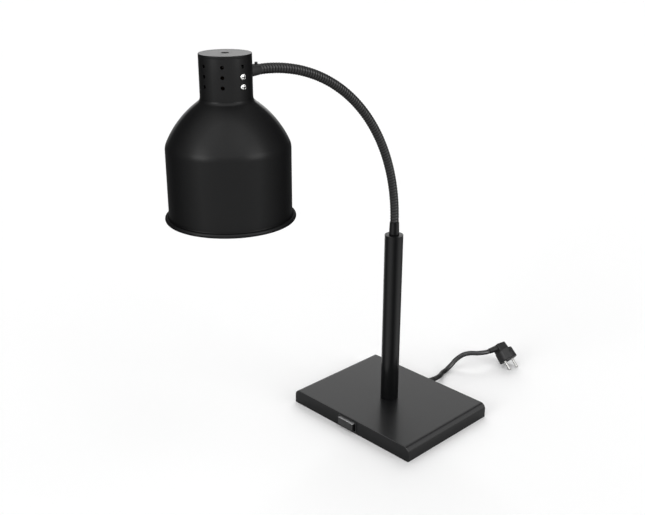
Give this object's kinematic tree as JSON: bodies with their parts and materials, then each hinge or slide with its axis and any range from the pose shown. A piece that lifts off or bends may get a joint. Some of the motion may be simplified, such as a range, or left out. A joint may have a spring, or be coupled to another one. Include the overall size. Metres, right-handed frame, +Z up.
{
  "type": "flexible food heat lamp",
  "caption": "Counter heat lamp: bell shade with a bulb, on a bendable ribbed arm and a pole, on a weighted base with a rocker switch.",
  "frame": {"origin": "on the floor, below the middle of the lamp's length and width without its cord", "axes": "+Z up, +X along the long side of the base, -Y towards the shade and the switch"},
  "size_m": [0.26, 0.7095, 0.6373],
  "materials": {
    "black_paint": "black satin powder coat on steel",
    "black_spun": "black satin powder coat on spun aluminium",
    "black_hose": "black coat on a wound steel hose",
    "black_plastic": "moulded black plastic",
    "steel": "zinc plated steel",
    "raw_steel": "dark rolled steel",
    "nickel": "bright nickel plate",
    "brass": "plain brass",
    "rubber": "black rubber",
    "porcelain": "white glazed porcelain",
    "ruby_glass": "ruby stained glass",
    "lead": "silicone insulation"
  },
  "bodies": {
    "stand": {"base_cover": "black_paint", "bottom_plate": "raw_steel", "ballast_plate": "raw_steel", "rubber_foot_1": "rubber", "rubber_foot_2": "rubber", "rubber_foot_3": "rubber", "rubber_foot_4": "rubber", "plate_screw_1": "steel", "plate_screw_2": "steel", "plate_screw_3": "steel", "plate_screw_4": "steel", "pole_tube": "black_paint", "pole_foot_insert": "steel", "pole_nipple": "steel", "pole_washer": "steel", "pole_nut": "steel", "pole_top_bush": "black_paint", "lower_ferrule": "black_paint", "gooseneck_root": "black_hose", "switch_housing": "black_plastic", "switch_tab_1": "brass", "switch_tab_2": "brass", "terminal_block": "porcelain", "cord_gland": "rubber", "cord_tail": "rubber", "power_cord": "rubber", "plug_body": "rubber", "plug_pin_1": "nickel", "plug_pin_2": "nickel", "earth_clip_1": "nickel", "earth_clip_2": "nickel", "riser_lead": "lead", "switch_wire_1": "lead", "switch_wire_2": "lead"},
    "rocker": {"switch_rocker": "black_plastic"},
    "arm_link_1": {"gooseneck_link_1": "black_hose"},
    "arm_link_2": {"gooseneck_link_2": "black_hose"},
    "arm_link_3": {"gooseneck_link_3": "black_hose"},
    "arm_link_4": {"gooseneck_link_4": "black_hose"},
    "arm_link_5": {"gooseneck_link_5": "black_hose"},
    "head": {"gooseneck_tip": "black_hose", "upper_ferrule": "black_paint", "ferrule_set_screw": "steel", "arm_nut": "steel", "neck_housing": "black_paint", "neck_cap": "black_paint", "shade": "black_spun", "lamp_holder": "porcelain", "holder_shell": "brass", "holder_contact": "brass", "holder_bracket": "steel", "bracket_screw_1": "nickel", "bracket_screw_2": "nickel", "holder_screw_1": "steel", "holder_screw_2": "steel", "bulb_glass": "ruby_glass", "bulb_cap": "brass", "bulb_filament": "steel", "head_lead": "lead"}
  },
  "joints": [
    {"name": "switch_rock", "type": "hinge", "parent": "stand", "child": "rocker", "pos_m": [-0.0027, 0.0596, 0.01165], "axis": [0, 0, 1], "range_deg": [0, 9]},
    {"name": "arm_bend_1", "type": "hinge", "parent": "stand", "child": "arm_link_1", "pos_m": [0, 0.15428, 0.37537], "axis": [1, 0, 0], "range_deg": [-20, 15]},
    {"name": "arm_swing_1", "type": "hinge", "parent": "arm_link_1", "child": "arm_link_2", "pos_m": [0, 0.13597, 0.44371], "axis": [0, -0.9239, -0.3827], "range_deg": [-25, 25]},
    {"name": "arm_bend_2", "type": "hinge", "parent": "arm_link_2", "child": "arm_link_3", "pos_m": [0, 0.1006, 0.50497], "axis": [1, 0, 0], "range_deg": [-30, 20]},
    {"name": "arm_swing_2", "type": "hinge", "parent": "arm_link_3", "child": "arm_link_4", "pos_m": [0, 0.05057, 0.555], "axis": [0, -0.6088, -0.7934], "range_deg": [-25, 25]},
    {"name": "arm_bend_3", "type": "hinge", "parent": "arm_link_4", "child": "arm_link_5", "pos_m": [0, -0.01069, 0.59037], "axis": [1, 0, 0], "range_deg": [-30, 25]},
    {"name": "arm_swing_3", "type": "hinge", "parent": "arm_link_5", "child": "head", "pos_m": [0, -0.07903, 0.60868], "axis": [0, -0.1305, -0.9914], "range_deg": [-25, 25]}
  ]
}
